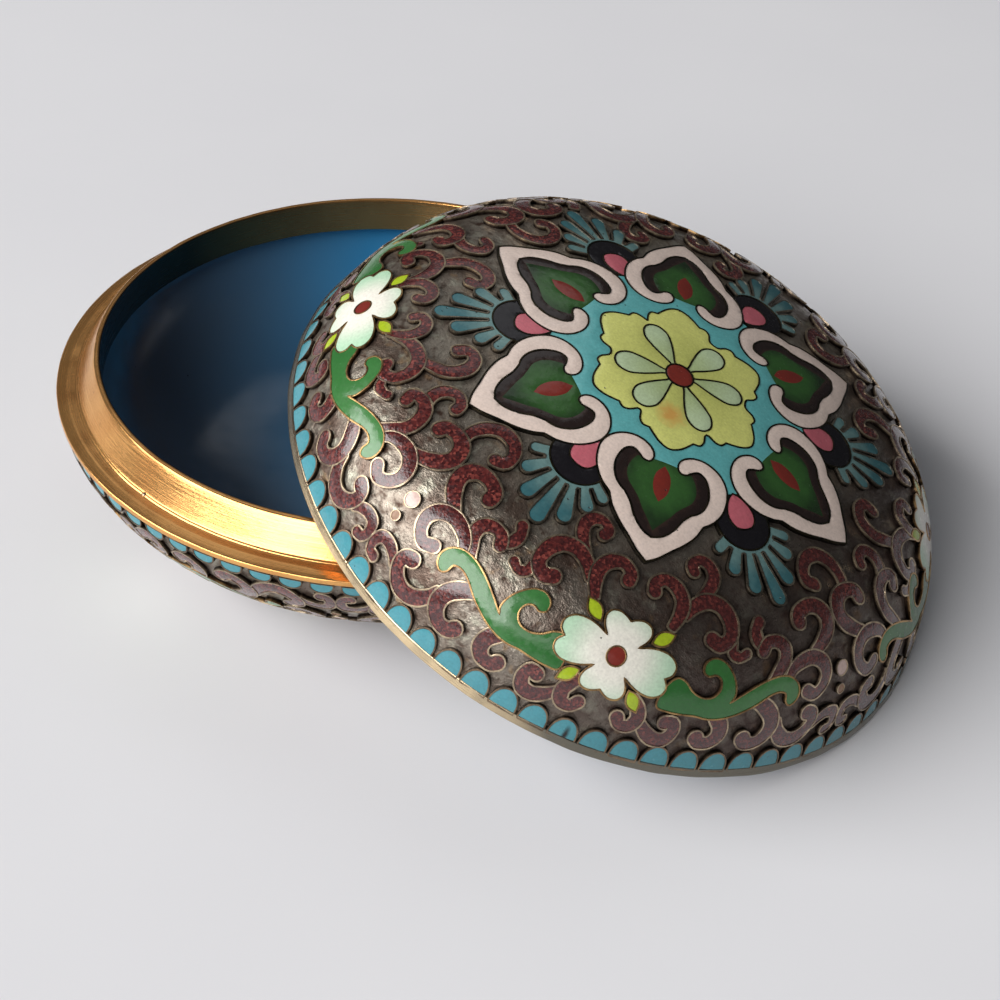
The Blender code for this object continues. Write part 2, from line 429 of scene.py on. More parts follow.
def leaf_spray():
    """The forked green spray beside a flower."""
    return shape("leaves", LEAF_SPRAY, "picture_wires", centre=LEAF_SPRAY[0][:2], near=2.0, far=22.0)


def flower():
    """A four-lobed white flower with a red eye and four buds, in its own frame."""
    upper = arch(FLOWER_QUARTER)
    lower = [(-x, -y, *corner) for x, y, *corner in upper[1:-1]]
    eye = Cell("reds", circle((0.0, 0.0), FLOWER_RED_RADIUS), "picture_wires", EYE_WIRE)
    petals = shape("flowers", upper + lower, "picture_wires", near=2.6, far=8.2)
    bud = shape("buds", mirrored(BUD_HALF), "picture_wires")
    buds = [placed([bud], turn, (x, y))[0] for x, y, turn in BUD_PLACES]
    return [eye, petals] + buds


def heart():
    """What fills a ruyi head: a red oval on a green heart in a dark field."""
    oval = shape("reds", mirrored(OVAL_HALF))
    green = shape("hearts", mirrored(HEART_HALF), centre=(0.0, 20.5), near=2.6, far=6.4)
    field = shape("heart_fields", mirrored(HEART_FIELD_HALF))
    return oval, green, field


def fan():
    """Between two ruyi heads: a pink drop on a black crescent, with a fan of blue fingers."""
    pink = shape("pinks", mirrored(PINK_HALF), "medallion_wires", width=PINK_WIRE)
    crescent = Cell("crescents", circle(CRESCENT_CENTRE, CRESCENT_RADIUS), "medallion_wires")
    blue = Cell("fans", fan_outline(), "fan_wires", centre=CRESCENT_CENTRE, near=4.5, far=10.0)
    return pink, crescent, blue


def fan_outline():
    """The fingers of a fan joined at their foot, with slots between them."""
    centre = np.array(CRESCENT_CENTRE)
    angles = [math.radians(angle) for angle, _, _ in FINGERS]
    ends = [angles[0] - FAN_END_TURN, *angles, angles[-1] + FAN_END_TURN]
    slots = [(low + high) / 2 for low, high in zip(ends, ends[1:])]
    points = [centre + FAN_FOOT_RADIUS * unit(angles[0] - FAN_FOOT_TURN)]
    for (_, reach, half_width), angle, before, after in zip(FINGERS, angles, slots, slots[1:]):
        out, beside = unit(angle), unit(angle + QUARTER_TURN)
        tip = centre + (reach - half_width) * out
        points.append(centre + SLOT_RADIUS * unit(before) + SLOT_HALF_WIDTH * unit(before + QUARTER_TURN))
        for turn in np.linspace(-QUARTER_TURN, QUARTER_TURN, 7):
            points.append(tip + half_width * (math.cos(turn) * out + math.sin(turn) * beside))
        points.append(centre + SLOT_RADIUS * unit(after) - SLOT_HALF_WIDTH * unit(after + QUARTER_TURN))
    points.append(centre + FAN_FOOT_RADIUS * unit(angles[-1] + FAN_FOOT_TURN))
    return evenly(np.vstack(points + points[:1]))[:-1]


def outer_star():
    """The yellow petals, joined in one wavy outline."""
    petal = arch(OUTER_PETAL_HALF[::-1])
    points = []
    for angle in OUTER_PETAL_ANGLES:
        turn = math.radians(angle - 90)
        along, across = unit(turn), unit(turn + QUARTER_TURN)
        points += [(*(x * along + y * across), *corner) for x, y, *corner in petal]
    return shape("outer_petals", points, "medallion_wires", near=4.0, far=13.0)


def medallion():
    """Everything inside the medallion, from the top cell down, in the lid's flat frame."""
    petal = shape("inner_petals", mirrored(INNER_PETAL_HALF), "medallion_wires", near=3.0, far=9.0)
    band = shape("bands", mirrored(BAND_HALF), "medallion_wires")
    ovals, greens, fields = zip(*(placed(heart(), angle - 90) for angle in BAND_ANGLES))
    pinks, crescents, blues = zip(*(placed(fan(), angle - 90, reach * unit(math.radians(angle)))
                                    for angle, reach in FANS))
    cells = [Cell("reds", circle((0.0, 0.0), MEDALLION_RED_RADIUS), "medallion_wires")]
    for angle in INNER_PETAL_ANGLES:
        cells += placed([petal], angle - 90)
    cells.append(outer_star())
    cells += ovals
    for angle in BAND_ANGLES:
        cells += placed([band], angle - 90)
    for layer in (pinks, crescents, blues, greens, fields):
        cells += layer
    cells.append(Cell("disc", circle((0.0, 0.0), DISC_RADIUS)))
    return placed(cells, shift=MEDALLION)


def scallops(outer, depth, half_width):
    """The row of turquoise scallops that hangs from the edge of a half."""
    turns = np.linspace(0, math.pi, 12)
    drop = (depth - SCALLOP_STRAIGHT) * np.sin(turns)
    round_end = np.stack((half_width * np.cos(turns), outer - SCALLOP_STRAIGHT - drop), 1)
    points = np.vstack((round_end, ((-half_width, outer), (half_width, outer)), round_end[:1]))
    cell = Cell("scallops", counterclockwise(evenly(points)[:-1]), "scallop_wires")
    pitch = 360 / SCALLOP_COUNT
    return [placed([cell], index * pitch)[0] for index in range(SCALLOP_COUNT)]


def quarter_cells(centre_angle, mirror, extra_turns):
    """The layers of one quarter from the top down: dots, leaves, outer scrolls, and three inner groups."""
    turn = centre_angle - 90
    dots = [Cell("dots", circle(DOT_PLACE, DOT_RADIUS), "scroll_wires", DOT_WIRE),
            Cell("worn_dots", circle(WORN_DOT_PLACE, WORN_DOT_RADIUS), "scroll_wires", DOT_WIRE)]
    left = scrolls(OUTER_SCROLLS)
    outer = [cell for pair in zip(left, placed(left, mirror=True)) for cell in pair]
    leaves = [leaf_spray()] + placed([leaf_spray()], mirror=True)
    inner = []
    for table, extra in zip((FAN_SIDE_SCROLLS, CENTRE_SCROLLS, TIP_SIDE_SCROLLS), extra_turns):
        inner += placed(scrolls(table), turn + extra, mirror=mirror)
    return placed(dots, turn, mirror=mirror), placed(leaves, turn), placed(outer, turn), inner


def ornament(quarters, flowers, flower_turn=0.0, middle=()):
    """The cells of a half above its scallops, from the top one down."""
    dots, *layers = zip(*(quarter_cells(*quarter) for quarter in quarters))
    cells = sum(dots, [])
    for angle, reach in flowers:
        cells += placed(flower(), angle - 90 + flower_turn, reach * unit(math.radians(angle)))
    cells += middle
    for layer in layers:
        cells += sum(layer, [])
    return cells


def lid_cells():
    """All cells of the lid, from the top one down."""
    cells = ornament(QUARTERS, FLOWERS, FLOWER_TURN, medallion())
    return cells + scallops(SCALLOP_OUTER, SCALLOP_DEPTH, SCALLOP_HALF_WIDTH)


BASE_QUARTERS = ((98.0, False), (188.0, True), (278.0, False), (8.0, True))
BASE_FLOWER_REACH = 46.5
BASE_SCALLOP_DEPTH = 1.9
BASE_SCALLOP_HALF_WIDTH = 1.95
BASE_SHIFT = 0.9                # the base's scallops are shallow, so its ornament sits nearer the edge
BASE_FADE_SHARE = 0.97          # of a fade centre's distance from the pole
BASE_ORNAMENT_FOOT = 28.6


def shifted_out(cell, shift):
    """The cell moved along the arc, away from the pole, without a turn."""
    reach = np.hypot(*cell.outline.T)
    return replace(cell, outline=cell.outline * ((reach + shift) / reach)[:, None],
                   centre=tuple(np.array(cell.centre) * BASE_FADE_SHARE))


def base_cells(top_arc):
    """All cells of the bowl, from the top one down."""
    quarters = [(angle, mirror, (0.0, 0.0, 0.0)) for angle, mirror in BASE_QUARTERS]
    flowers = [(angle + 45, BASE_FLOWER_REACH) for angle, _ in BASE_QUARTERS]
    cells = [shifted_out(cell, BASE_SHIFT) for cell in ornament(quarters, flowers)]
    cells = [cell for cell in cells if np.hypot(*cell.outline.T).min() > BASE_ORNAMENT_FOOT]
    return cells + scallops(top_arc, BASE_SCALLOP_DEPTH, BASE_SCALLOP_HALF_WIDTH)


# ---------------------------------------------------------------- turned surfaces
ARC_STEPS = 60


def arc_points(centre, radius, start, end, steps=ARC_STEPS):
    """Points (r, z) along an arc, with both ends; the angles are in radians from +r."""
    angles = np.linspace(start, end, steps + 1)
    return [(centre[0] + radius * math.cos(angle), centre[1] + radius * math.sin(angle)) for angle in angles]


def flare(inner, outer, steps):
    """Points (r, z) of a super-ellipse quarter, from `inner` up to its steep end at `outer`."""
    angles = np.linspace(0, QUARTER_TURN, steps + 1)
    reach = np.sin(angles) ** (2 / BOWL_EXPONENT)
    rise = 1 - np.cos(angles) ** (2 / BOWL_EXPONENT)
    return np.array(inner) + np.subtract(outer, inner) * np.stack((reach, rise), 1)


def dome_profile():
    """Points (r, z) of the lid's outside, from its apex down to the rim's plane."""
    up_skirt = Vector((-math.cos(SKIRT_SLOPE), math.sin(SKIRT_SLOPE)))
    into_skirt = Vector((-math.sin(SKIRT_SLOPE), -math.cos(SKIRT_SLOPE)))
    crown_centre = Vector((0.0, LID_HEIGHT - CROWN_RADIUS))
    # The shoulder's circle touches the skirt's line and, from inside, the crown's circle
    shoulder_foot = Vector((LID_RADIUS, 0.0)) + SHOULDER_RADIUS * into_skirt
    from_crown = shoulder_foot - crown_centre
    along = from_crown.dot(up_skirt)
    reach = (CROWN_RADIUS - SHOULDER_RADIUS) ** 2 - from_crown.length_squared + along ** 2
    shoulder_centre = shoulder_foot + (math.sqrt(reach) - along) * up_skirt
    to_shoulder = shoulder_centre - crown_centre
    touch = math.atan2(to_shoulder.y, to_shoulder.x)
    crown = arc_points(crown_centre, CROWN_RADIUS, QUARTER_TURN, touch)
    shoulder = arc_points(shoulder_centre, SHOULDER_RADIUS, touch, QUARTER_TURN - SKIRT_SLOPE)
    return [(0.0, LID_HEIGHT), *crown[1:], *shoulder[1:], (LID_RADIUS, 0.0)]


def bowl_profile():
    """Points (r, z) of the bowl's outside, upside down, from under its middle to its edge."""
    outside = flare((FOOT_RADIUS + FOOT_STEP, FOOT_HEIGHT), (RADIUS - GAP, BOWL_TOP), 90)
    return np.vstack(((0.0, -FOOT_HEIGHT), outside * (1, -1)))


class Surface:
    """A half's outer surface, with its pole at the top of its own frame."""

    def __init__(self, profile, matrix):
        self.r, self.z = np.array(profile).T
        lengths = np.hypot(np.diff(self.r), np.diff(self.z))
        self.arc = np.concatenate(([0.0], np.cumsum(lengths)))
        slope_r, slope_z = np.gradient(self.r, self.arc), np.gradient(self.z, self.arc)
        size = np.hypot(slope_r, slope_z)
        self.out_r, self.out_z = -slope_z / size, slope_r / size
        self.matrix = matrix

    def section(self, arc, height):
        """(r, z) in mm at an arc from the pole, at a height over the surface."""
        r = np.interp(arc, self.arc, self.r) + height * np.interp(arc, self.arc, self.out_r)
        z = np.interp(arc, self.arc, self.z) + height * np.interp(arc, self.arc, self.out_z)
        return r, z

    def lift(self, flat, height):
        """Points in mm, in the half's own frame, for flat points at a height."""
        r, z = self.section(np.hypot(flat[:, 0], flat[:, 1]), height)
        angle = np.arctan2(flat[:, 1], flat[:, 0])
        return np.stack((r * np.cos(angle), r * np.sin(angle), z), 1)


def lid_matrix():
    """The leaning lid's own frame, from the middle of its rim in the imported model."""
    lowest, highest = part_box("lid_rim")
    turn = Matrix.Rotation(LID_HEADING, 4, "Z") @ Matrix.Rotation(LID_TILT, 4, "Y")
    axis = (turn @ Vector((0.0, 0.0, 1.0, 0.0))).to_3d()
    return Matrix.Translation((lowest + highest) / 2 - axis * RIM_HEIGHT / 2 * MM) @ turn


# ---------------------------------------------------------------- meshes
SHARP_ANGLE = math.radians(40)
SHADE_SEED = 11
ROW_SPACING = FILL_SPACING * math.sqrt(0.75)


def mesh_from(name, points, triangles, **attributes):
    """A smooth mesh from points in mm, with sharp edges kept.

    Each attribute is a number for each vertex."""
    mesh = bpy.data.meshes.new(name)
    mesh.vertices.add(len(points))
    mesh.vertices.foreach_set("co", np.ascontiguousarray(points * MM, np.float32).ravel())
    mesh.loops.add(triangles.size)
    mesh.loops.foreach_set("vertex_index", np.ascontiguousarray(triangles, np.int32).ravel())
    mesh.polygons.add(len(triangles))
    mesh.polygons.foreach_set("loop_start", np.arange(0, triangles.size, 3, dtype=np.int32))
    mesh.update(calc_edges=True)
    mesh.shade_smooth()
    mesh.set_sharp_from_angle(angle=SHARP_ANGLE)
    for attribute, values in attributes.items():
        layer = mesh.attributes.new(attribute, "FLOAT", "POINT")
        layer.data.foreach_set("value", np.ascontiguousarray(values, np.float32))
    return mesh


def keep_places(mesh):
    """Stores where each vertex is now, in mm, which is where the materials' patterns stay."""
    places = np.empty(3 * len(mesh.vertices), np.float32)
    mesh.vertices.foreach_get("co", places)
    mesh.attributes.new("own_place", "FLOAT_VECTOR", "POINT").data.foreach_set("vector", places / MM)


def new_object(name, data):
    """A new object in the scene."""
    thing = bpy.data.objects.new(name, data)
    bpy.context.scene.collection.objects.link(thing)
    return thing


def add_piece(mesh, material, matrix):
    """An object for a mesh that was made in its half's own frame, and that the matrix puts in its place.

    It has the mesh's name and rides on the box."""
    keep_places(mesh)
    mesh.transform(matrix)
    mesh.materials.append(material)
    piece = new_object(mesh.name, mesh)
    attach(piece, "root")
    return piece


def ring_faces(rings, steps, closed):
    """Triangles between rings of vertices; the first ring also follows the last one if closed."""
    around = np.arange(steps)
    beside = np.roll(around, -1)
    triangles = []
    for ring in range(rings if closed else rings - 1):
        here, there = ring * steps, (ring + 1) % rings * steps
        triangles.append(np.stack((here + around, there + around, there + beside), 1))
        triangles.append(np.stack((here + around, there + beside, here + beside), 1))
    return triangles


def turned(line, steps, relief=None):
    """A line (r, z) turned round the axis: its points in mm, ring by ring, perhaps with a relief."""
    r, z = np.repeat(np.array(line, float), steps, 0).T
    angle = np.tile(np.arange(steps) * TAU / steps, len(line))
    if relief:
        r, z = relief(r, z, angle)
    return np.stack((r * np.cos(angle), r * np.sin(angle), z), 1)


def turned_ring(name, section, steps, relief):
    """A closed ring from a section that runs out over the top, down, and back in under it."""
    return mesh_from(name, turned(section, steps, relief), np.vstack(ring_faces(len(section), steps, True)))


def turned_shell(name, top, bottom, steps):
    """A closed shell from two lines (r, z) that start on the axis, the top one and the one under it."""
    points = turned([*top[1:], *bottom[:0:-1]], steps)
    return closed_shell(name, points, steps, top[0][1], bottom[0][1])


def closed_shell(name, points, steps, top, bottom):
    """A mesh of rings of points in mm, closed on the axis by one vertex at each end's height."""
    around = np.arange(steps)
    beside = np.roll(around, -1)
    count = len(points)
    last = count - steps
    triangles = ring_faces(count // steps, steps, False)
    triangles.append(np.stack((np.full(steps, count), around, beside), 1))
    triangles.append(np.stack((np.full(steps, count + 1), last + beside, last + around), 1))
    return mesh_from(name, np.vstack((points, (0.0, 0.0, top), (0.0, 0.0, bottom))), np.vstack(triangles))


GROUND_STEPS = 420
GROUND_RING_STEP = 0.85


def ground_shell(name, surface, last_arc, seed):
    """The metal ground under the ornament: hammered a little uneven outside, plain inside."""
    arcs = np.linspace(0, last_arc, int(last_arc / GROUND_RING_STEP) + 1)[1:]
    outer, inner = (turned([(arc, 0.0) for arc in line], GROUND_STEPS)[:, :2]
                    for line in (arcs, arcs[::-6]))
    lumps = 0.6 * value_noise(outer, 2.6, seed) + 0.4 * value_noise(outer, 1.1, seed + 1)
    outside = surface.lift(outer, GROUND_TOP + GROUND_BUMPS * lumps)
    points = np.vstack((outside, surface.lift(inner, GROUND_FOOT)))
    pole = surface.z[0]
    return closed_shell(name, points, GROUND_STEPS, pole + GROUND_TOP, pole + GROUND_FOOT)


def inside_points(loops, reach):
    """A honeycomb of points that stays clear of all loops."""
    corners = np.vstack(loops)
    tree = KDTree(len(corners))
    for index, (x, y) in enumerate(corners):
        tree.insert((x, y, 0.0), index)
    tree.balance()
    rows, columns = int(reach / ROW_SPACING), int(reach / FILL_SPACING)
    points = []
    for row in range(-rows, rows + 1):
        y = row * ROW_SPACING
        for column in range(-columns, columns + 1):
            x = (column + 0.5 * (row % 2)) * FILL_SPACING
            if x * x + y * y < reach * reach and tree.find((x, y, 0.0))[2] > FILL_MARGIN:
                points.append((x, y))
    return np.array(points)


def cell_lines(cell):
    """The loops that a cell adds to the triangulation: both sides and the ridge of its wire."""
    if not cell.wire:
        return [cell.outline]
    return [offset(cell.outline, cell.width / 2), cell.outline, offset(cell.outline, -cell.width / 2)]


def triangulate(lines, reach):
    """Flat points and triangles that follow every cell's lines."""
    loops = [loop for group in lines for loop in group]
    points = np.vstack(loops + [inside_points(loops, reach)])
    edges = []
    start = 0
    for loop in loops:
        count = len(loop)
        edges += [(start + index, start + (index + 1) % count) for index in range(count)]
        start += count
    places, _, faces, *_ = delaunay_2d_cdt([Vector(point) for point in points], edges, [], 0, 1e-5, False)
    return np.array([tuple(place) for place in places]), np.array(faces, int)


def lay_cells(half, cells, surface, looks):
    """Builds the enamel and the wires of all cells on a surface, one piece for each colour."""
    lines = [cell_lines(cell) for cell in cells]
    reach = max(np.hypot(*cell.outline.T).max() for cell in cells) + 1
    flat, triangles = triangulate(lines, reach)
    middles = flat[triangles].mean(1)
    owner = np.full(len(triangles), "", dtype=object)
    tone, shade = np.zeros((2, len(flat)))
    draws = np.random.default_rng(SHADE_SEED).uniform(0, 1, len(cells))
    for cell, loops, draw in zip(cells, lines, draws):
        outer, inner = loops[0], loops[-1]
        near = np.all((middles >= outer.min(0)) & (middles <= outer.max(0)), 1) & (owner == "")
        index = np.flatnonzero(near)
        index = index[winding(middles[index], outer) > 0]
        fill = winding(middles[index], inner) > 0
        owner[index[~fill]] = cell.wire
        owner[index[fill]] = cell.enamel
        corners = np.unique(triangles[index[fill]])
        shade[corners] = draw
        if cell.far:
            away = np.hypot(*(flat[corners] - cell.centre).T)
            tone[corners] = smooth_step(np.clip((away - cell.near) / (cell.far - cell.near), 0, 1))
    for group in sorted(set(owner) - {""}):
        mesh = prism(f"{half}_{group}", flat, triangles[owner == group], surface, tone, shade)
        add_piece(mesh, looks[group], surface.matrix)


def prism(name, flat, triangles, surface, tone, shade):
    """A closed solid from flat triangles, rounded a little at its top, with upright walls."""
    used, labels = np.unique(triangles, return_inverse=True)
    triangles = labels.reshape(-1, 3)
    flat = flat[used]
    count = len(used)
    sides = np.vstack((triangles[:, (0, 1)], triangles[:, (1, 2)], triangles[:, (2, 0)]))
    border = sides[~np.isin(sides @ (count, 1), sides @ (1, count))]
    edge = np.zeros(count, bool)
    edge[border.ravel()] = True
    if name.endswith("wires"):
        top = np.where(edge, WIRE_EDGE, 0.0) + TOP_BUMPS * value_noise(flat, 3.0, 5)
        foot = WIRE_FOOT
    else:
        top = np.where(edge, ENAMEL_EDGE, ENAMEL_MIDDLE) + TOP_BUMPS * value_noise(flat, 1.6, 6)
        foot = ENAMEL_FOOT
    points = np.vstack((surface.lift(flat, top), surface.lift(flat, foot)))
    a, b = border.T
    walls = np.vstack((np.stack((a, a + count, b + count), 1), np.stack((a, b + count, b), 1)))
    faces = np.vstack((triangles, triangles[:, ::-1] + count, walls))
    return mesh_from(name, points, faces, tone=np.tile(tone[used], 2), shade=np.tile(shade[used], 2),
                     depth=np.repeat((0.0, 1.0), count))


# ---------------------------------------------------------------- materials
# Direction, in a half's own frame, towards the side that is painted darker as shade
SHADED_SIDE_DIRECTION = (0.98, -0.10, 0.0)
# Angle round the lid where its rim's gilt is left bright, a painted highlight; elsewhere the rim is painted
# dark as shade
RIM_LIT_SIDE = 256
STAIN_PLACE = (2.0, -8.1)       # an orange stain on one petal of the medallion
STAIN_REACH = 2.1
PIT_PLACE = (17.5, -47.0)       # enamel lost from one scallop
PIT_REACH = 0.42


def colour(red, green, blue):
    """Linear colour from screen values of 0 to 255."""
    parts = (red / 255, green / 255, blue / 255)
    return tuple(part / 12.92 if part <= 0.04045 else ((part + 0.055) / 1.055) ** 2.4 for part in parts)


def darkened(tint, share):
    """A share of a linear colour."""
    return tuple(part * share for part in tint)


class Look:
    """A material: a Principled shader, with short ways to add the nodes that feed it.

    Its plain roughness stands in where the nodes that vary it are left out."""

    def __init__(self, name, metallic=0.0, roughness=0.3, coat=0.0):
        self.material = bpy.data.materials.new(name)
        self.material.use_nodes = True
        self.tree = self.material.node_tree
        self.shader = self.tree.nodes["Principled BSDF"]
        self.shader.inputs["Metallic"].default_value = metallic
        self.shader.inputs["Roughness"].default_value = roughness
        self.shader.inputs["Coat Weight"].default_value = coat
        self.shader.inputs["Coat Roughness"].default_value = 0.08
        self.place = self.attribute("own_place", "Vector")
        self.base = None

    def link(self, value, socket):
        """Sets a socket to a number, a colour or another node's output."""
        if isinstance(value, bpy.types.NodeSocket):
            self.tree.links.new(value, socket)
        elif isinstance(value, tuple) and len(socket.default_value) == 4:
            socket.default_value = (*value, 1.0)
        else:
            socket.default_value = value

    def node(self, kind, inputs, out=0, **settings):
        """Adds a node, feeds its inputs by number or name, and returns one of its outputs."""
        node = self.tree.nodes.new("ShaderNode" + kind)
        for name, value in settings.items():
            setattr(node, name, value)
        for socket, value in inputs.items():
            self.link(value, node.inputs[socket])
        return node.outputs[out]

    def attribute(self, name, out="Fac"):
        """A number, or a vector, stored on the mesh."""
        return self.node("Attribute", {}, out, attribute_name=name)

    def maths(self, operation, *values):
        """One number operation."""
        return self.node("Math", dict(enumerate(values)), operation=operation)

    def vector_maths(self, operation, *vectors):
        """One vector operation."""
        out = "Value" if operation in ("LENGTH", "DOT_PRODUCT") else "Vector"
        return self.node("VectorMath", dict(enumerate(vectors)), out, operation=operation)

    def between(self, value, low, high, out_low=0.0, out_high=1.0):
        """A number mapped from one span to another, and held inside it."""
        return self.node("MapRange", dict(enumerate((value, low, high, out_low, out_high))))

    def distance_from(self, x, y):
        """The distance in mm from the upright line at (x, y)."""
        flat = self.vector_maths("MULTIPLY", self.place, (1.0, 1.0, 0.0))
        return self.vector_maths("LENGTH", self.vector_maths("SUBTRACT", flat, (x, y, 0.0)))

    def noise(self, size, detail=3.0, place=None):
        """Noise from 0 to 1 with lumps of a size in mm."""
        place = self.place if place is None else place
        return self.node("TexNoise", {"Vector": place, "Scale": 1 / size, "Detail": detail}, "Fac")

    def clouds(self, size, detail, low, high, out_low=0.0, out_high=1.0):
        """Noise whose values from low to high are spread over another span."""
        return self.between(self.noise(size, detail), low, high, out_low, out_high)

    def grains(self, size):
        """Voronoi grains of a size in mm: the distance to the nearest middle, and a random number."""
        tint = self.node("TexVoronoi", {"Vector": self.place, "Scale": 1 / size}, "Color")
        return tint.node.outputs["Distance"], self.vector_maths("LENGTH", tint)

    def pits(self, size, small, large, share):
        """1 in small round pits, in those grains whose random number is under a share."""
        distance, draw = self.grains(size)
        return self.maths("MULTIPLY", self.between(distance, small, large, 1.0, 0.0),
                          self.maths("LESS_THAN", draw, share))

    def mix(self, factor, first, second):
        """Two colours mixed."""
        return self.node("Mix", {0: factor, 6: first, 7: second}, 2, data_type="RGBA")

    def stain(self, factor, tint, share=None):
        """Lays a colour over the base colour, by a factor or by a share of it."""
        factor = self.maths("MULTIPLY", factor, share) if share else factor
        self.base = self.mix(factor, self.base, tint)

    def bump(self, height, distance, strength=1.0, under=None):
        """A normal from a height of 0 to 1 that stands for a distance in mm, over another bump's normal."""
        inputs = {"Height": height, "Distance": distance * MM, "Strength": strength}
        if under is not None:
            inputs["Normal"] = under
        return self.node("Bump", inputs, "Normal")

    def use(self, roughness, normal):
        """Feeds the shader, and returns the material."""
        for socket, value in (("Base Color", self.base), ("Roughness", roughness), ("Normal", normal)):
            self.link(value, self.shader.inputs[socket])
        return self.material


def near_place(look, place, reach):
    """1 at a place (x, y) in mm of the piece's own frame, ragged at its reach, and 0 beyond it."""
    lumps = look.maths("MULTIPLY", look.noise(0.7), 0.9 * reach)
    ragged = look.maths("ADD", look.distance_from(*place), lumps)
    return look.between(ragged, 0.7 * reach, 1.7 * reach, 1.0, 0.0)


def painted_shade_side(look):
    """0 to 1 towards the side of a half that is painted dull and dark, a painted shade on the side the light
    reaches least.
    """
    along = look.vector_maths("DOT_PRODUCT", look.place, SHADED_SIDE_DIRECTION)
    return look.between(look.maths("ADD", along, look.maths("MULTIPLY", look.noise(6.0), 12.0)), 6.0, 36.0)


def enamel(name, deep, pale, mottle=0.5, pits=0.5, gloss=0.14, mark=None):
    """Fired enamel: its colour fades with the cell's tone, with mottling, pin holes and a polish.

    A mark is one spot of another colour: (place, reach, colour)."""
    look = Look(name, roughness=gloss)
    deep, pale = colour(*deep), colour(*pale)
    cloud = look.maths("MULTIPLY", look.maths("SUBTRACT", look.noise(1.5, 4.0), 0.5), mottle)
    tone = look.maths("ADD", look.attribute("tone"), cloud)
    look.base = look.mix(look.between(tone, 0.0, 1.0), deep, pale)
    look.stain(look.between(look.attribute("shade"), 0.0, 1.0, 0.0, 0.22), darkened(deep, 0.55))
    # Painted shade: the enamel is painted darker towards one side of the half
    look.stain(painted_shade_side(look), darkened(deep, 0.3), 0.30)
    look.stain(look.clouds(0.35, 3.0, 0.35, 0.7, 0.0, 0.16), (0.02, 0.02, 0.02))
    hole = look.pits(0.9, 0.10, 0.17, 0.62 * pits)
    look.stain(hole, (0.012, 0.010, 0.009), 0.85)
    if mark:
        place, reach, tint = mark
        look.stain(near_place(look, place, reach), colour(*tint))
    rough = look.clouds(0.8, 4.0, 0.3, 0.75, gloss * 0.7, gloss * 2.2)
    waves = look.bump(look.noise(1.1, 2.0), 0.05, 0.6)
    return look.use(rough, look.bump(look.maths("SUBTRACT", 1.0, hole), 0.12, 0.8, waves))


def speckled(name, dark, middle, light):
    """Maroon enamel with coarse grains that show through its worn surface."""
    look = Look(name, roughness=0.22, coat=0.5)
    dark = colour(*dark)
    distance, draw = look.grains(0.32)
    grain = look.maths("FRACT", look.maths("MULTIPLY", draw, 3.7))
    look.base = look.mix(look.between(grain, 0.15, 0.75), dark, colour(*middle))
    worn = look.maths("MULTIPLY", look.between(grain, 0.72, 0.9), look.clouds(2.2, 3.0, 0.3, 0.6))
    look.stain(worn, colour(*light))
    look.stain(look.between(look.attribute("shade"), 0.2, 1.0, 0.0, 0.3), dark)
    # Painted shade: the maroon is painted darker towards one side of the half
    look.stain(painted_shade_side(look), colour(58, 33, 31), 0.45)
    rough = look.clouds(0.5, 3.0, 0.3, 0.7, 0.14, 0.38)
    return look.use(rough, look.bump(distance, 0.05, 0.5, look.bump(look.noise(0.9), 0.06, 0.7)))


def ground_metal(name):
    """Old silvered brass between the wires: grey and brown stains over a pitted, uneven face, a painted sheen
    round the pole, and painted shade towards one side.
    """
    look = Look(name, metallic=0.78, roughness=0.4)
    patch = look.noise(1.3, 4.0)
    stain = look.clouds(5.5, 5.0, 0.40, 0.66)
    look.base = look.mix(stain, colour(147, 138, 126), colour(102, 86, 76))
    look.stain(look.clouds(2.3, 5.0, 0.54, 0.66, 0.0, 0.6), colour(184, 182, 164))
    look.stain(look.between(patch, 0.52, 0.70), colour(76, 58, 48))
    look.stain(look.clouds(3.1, 2.0, 0.64, 0.76, 0.0, 0.45), colour(190, 150, 96))
    look.stain(look.pits(0.75, 0.08, 0.2, 0.55), (0.02, 0.016, 0.012), 0.7)
    # Painted sheen: the ground is painted lighter in a ring round the pole, where it catches a sheen
    painted_sheen_ring = look.between(look.distance_from(0.0, 0.0), 26.0, 37.0, 0.55, 0.0)
    look.stain(painted_sheen_ring, colour(186, 176, 160))
    # Painted shade: the ground is painted dark brown towards one side of the half
    look.stain(painted_shade_side(look), colour(60, 48, 46), 0.75)
    rough = look.between(patch, 0.3, 0.7, 0.26, 0.50)
    coarse = look.bump(look.noise(0.9, 4.0), 0.18)
    return look.use(rough, look.bump(look.noise(0.22), 0.07, 1.0, coarse))


def wire_metal(name, crown, worn, wall):
    """Brass wire: bright where its crown is polished, dark down its walls."""
    look = Look(name, metallic=0.9, roughness=0.32)
    look.base = look.mix(look.clouds(1.9, 4.0, 0.35, 0.65), colour(*worn), colour(*crown))
    look.stain(look.between(look.attribute("depth"), 0.0, 0.35), colour(*wall))
    rough = look.clouds(0.4, 3.0, 0.3, 0.7, 0.22, 0.46)
    return look.use(rough, look.bump(look.noise(0.22), 0.03, 0.7))


